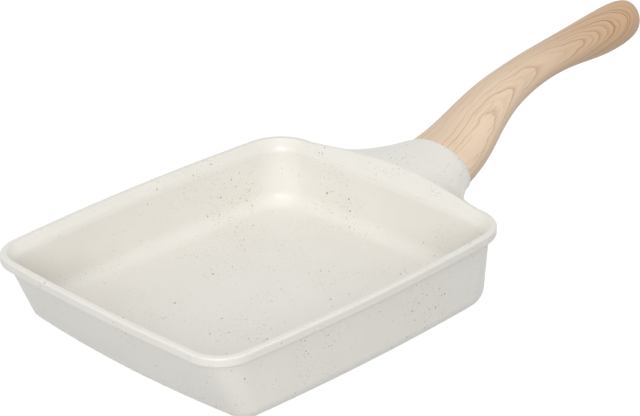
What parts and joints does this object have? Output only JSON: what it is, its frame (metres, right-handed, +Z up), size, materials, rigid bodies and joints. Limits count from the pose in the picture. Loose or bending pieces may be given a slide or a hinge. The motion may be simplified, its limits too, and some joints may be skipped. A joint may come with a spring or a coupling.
{
  "type": "tamagoyaki pan",
  "caption": "Rectangular rolled-omelette pan with a flared rim, a cast neck and a curved wooden handle, for frying and rolling thin layers of egg.",
  "frame": {"origin": "on the surface the pan stands on, under the middle of the rim's length and width", "axes": "+X from the pan towards the tip of the handle, +Z up; the XZ plane halves the pan"},
  "size_m": [0.3526, 0.15, 0.074],
  "materials": {
    "coating": "satin",
    "steel": "satin",
    "handle": "satin"
  },
  "bodies": {
    "root": {"pan_body": "coating", "induction_base": "steel", "handle_grip": "handle", "handle_screw": "steel", "spring_washer": "steel", "flat_washer": "steel"}
  },
  "joints": []
}
